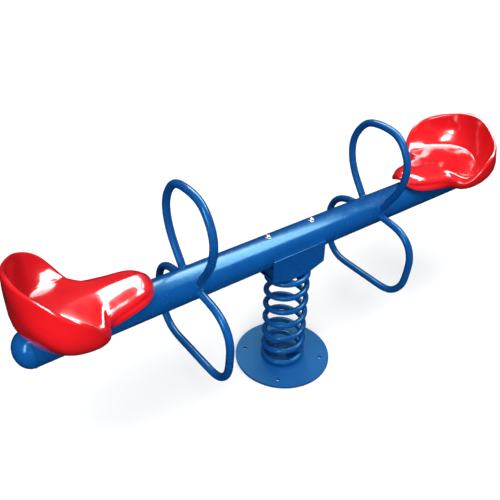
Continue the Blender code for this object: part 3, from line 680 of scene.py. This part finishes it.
# ---------------------------------------------------------------- spring


def wire_height(turns, rise):
    """Height of the wire's middle above its lower end, at this many turns from it."""
    pitch = rise / (COIL_TURNS - (COIL_LOWER_LEAD + COIL_UPPER_LEAD) / 2)
    left = COIL_TURNS - turns
    if turns < COIL_LOWER_LEAD:
        return 0.5 * pitch * turns**2 / COIL_LOWER_LEAD
    if left < COIL_UPPER_LEAD:
        return rise - 0.5 * pitch * left**2 / COIL_UPPER_LEAD
    return pitch * (turns - 0.5 * COIL_LOWER_LEAD)


def make_spring():
    """The coil in two lengths that meet at its middle."""
    rise = SPRING_HIGH - SPRING_LOW - 2 * WIRE_RADIUS
    count = 2 * round(COIL_TURNS * WIRE_STEPS_PER_TURN / 2)
    points = []
    for i in range(count + 1):
        turns = COIL_TURNS * i / count
        angle = math.radians(COIL_START_DEG) + 2 * math.pi * turns
        height = SPRING_LOW + WIRE_RADIUS + wire_height(turns, rise)
        points.append((COIL_RADIUS * math.cos(angle), COIL_RADIUS * math.sin(angle), height))
    rings = sweep(points, WIRE_RADIUS, WIRE_SIDES)
    middle = count // 2
    low, high = Vector((0, 0, SPRING_LOW + 2 * WIRE_RADIUS)), Vector((0, 0, SPRING_HIGH - 2 * WIRE_RADIUS))
    for name, part, bodies, span in (
        ("spring_lower_coils", rings[: middle + 1], ("base", "spring"), (low, PIVOT)),
        ("spring_upper_coils", rings[middle:], ("spring", "rocker"), (PIVOT, high)),
    ):
        mesh = grid_mesh(name, part, wrap_columns=True, caps=True)
        obj = add_piece(name, mesh, BLUE, body=None, stands_for=("coil_spring",))
        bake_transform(obj)


# ---------------------------------------------------------------- floor and light


def make_floor():
    bm = bmesh.new()
    bmesh.ops.create_grid(bm, x_segments=1, y_segments=1, size=12)
    mesh = bpy.data.meshes.new("floor")
    bm.to_mesh(mesh)
    bm.free()
    n = Nodes("floor")
    n.set(Base_Color=n.mix(n.noise(3.0), (0.90, 0.90, 0.90), (0.93, 0.93, 0.93)), Roughness=0.9)
    mesh.materials.append(n.material)
    floor = bpy.data.objects.new("floor", mesh)
    floor.location.z = -FLOOR_DROP
    bpy.context.scene.collection.objects.link(floor)
    floor.visible_glossy = False
    floor.visible_diffuse = False


def make_sky():
    """A grey sky, dim in reflections and plain pale where the camera sees it."""
    world = bpy.data.worlds.new("studio")
    world.use_nodes = True
    tree = world.node_tree
    coordinate = tree.nodes.new("ShaderNodeTexCoord")
    split = tree.nodes.new("ShaderNodeSeparateXYZ")
    ramp = tree.nodes.new("ShaderNodeValToRGB")
    tree.links.new(coordinate.outputs["Generated"], split.inputs[0])
    tree.links.new(split.outputs["Z"], ramp.inputs["Fac"])
    ramp.color_ramp.elements[0].position = 0.0
    ramp.color_ramp.elements[0].color = (0.06, 0.06, 0.065, 1)
    ramp.color_ramp.elements[1].position = 0.6
    ramp.color_ramp.elements[1].color = (0.62, 0.63, 0.65, 1)
    background = tree.nodes["Background"]
    path = tree.nodes.new("ShaderNodeLightPath")
    backdrop = tree.nodes.new("ShaderNodeMix")
    backdrop.data_type = "RGBA"
    backdrop.inputs["B"].default_value = (0.93, 0.93, 0.93, 1)
    tree.links.new(path.outputs["Is Camera Ray"], backdrop.inputs["Factor"])
    tree.links.new(ramp.outputs["Color"], backdrop.inputs["A"])
    tree.links.new(backdrop.outputs["Result"], background.inputs["Color"])
    strength = tree.nodes.new("ShaderNodeMapRange")
    tree.links.new(path.outputs["Is Glossy Ray"], strength.inputs["Value"])
    strength.inputs["To Min"].default_value = 1.0
    strength.inputs["To Max"].default_value = 0.12
    tree.links.new(strength.outputs["Result"], background.inputs["Strength"])
    bpy.context.scene.world = world


def make_lamps():
    """A soft sun, boxes that show as highlights only, and a fill that doesn't show as one."""
    sun = bpy.data.lights.new("overhead", "SUN")
    sun.energy = 2.3
    sun.angle = math.radians(50)
    lamp = bpy.data.objects.new("overhead", sun)
    lamp.rotation_euler = Vector((0.25, 0.30, -1.0)).to_track_quat("-Z", "Y").to_euler()
    lamp.visible_glossy = False
    bpy.context.scene.collection.objects.link(lamp)

    for name, place, target, size, power, diffuse in (
        ("top_box", (0.9, 0.25, 2.6), (0.1, 0, 0.5), (3.6, 0.95), 240, False),
        ("left_box", (-2.4, -0.9, 1.9), (0, 0, 0.5), (0.5, 1.6), 60, False),
        ("front_fill", (-1.6, -3.0, 1.2), (0, 0, 0.5), (2.0, 1.2), 60, True),
    ):
        data = bpy.data.lights.new(name, "AREA")
        data.shape = "RECTANGLE"
        data.size, data.size_y = size
        data.energy = power
        lamp = bpy.data.objects.new(name, data)
        lamp.location = place
        lamp.rotation_euler = (Vector(target) - Vector(place)).to_track_quat("-Z", "Y").to_euler()
        lamp.visible_diffuse = diffuse
        lamp.visible_glossy = not diffuse
        bpy.context.scene.collection.objects.link(lamp)


make_seats()
make_loops()
make_beam()
make_bolts()
make_spring()
for node in sorted(frame["nodes"]):
    if node == "base_plate":
        rounded(node, TRODDEN_BLUE, EDGE_ROUND)
    elif node.startswith(("saddle", "beam_cradle", "lower_spring", "upper_spring", "seat_carrier")):
        rounded(node, BLUE, EDGE_ROUND)
    elif node.startswith(("lower_clamp", "upper_clamp")):
        rounded(node, BLUE, FASTENER_ROUND)
    elif node.startswith(("seat_bolt", "beam_nut")):
        rounded(node, ZINC, FASTENER_ROUND)
make_floor()
make_sky()
make_lamps()
bpy.context.scene.view_settings.view_transform = "Standard"
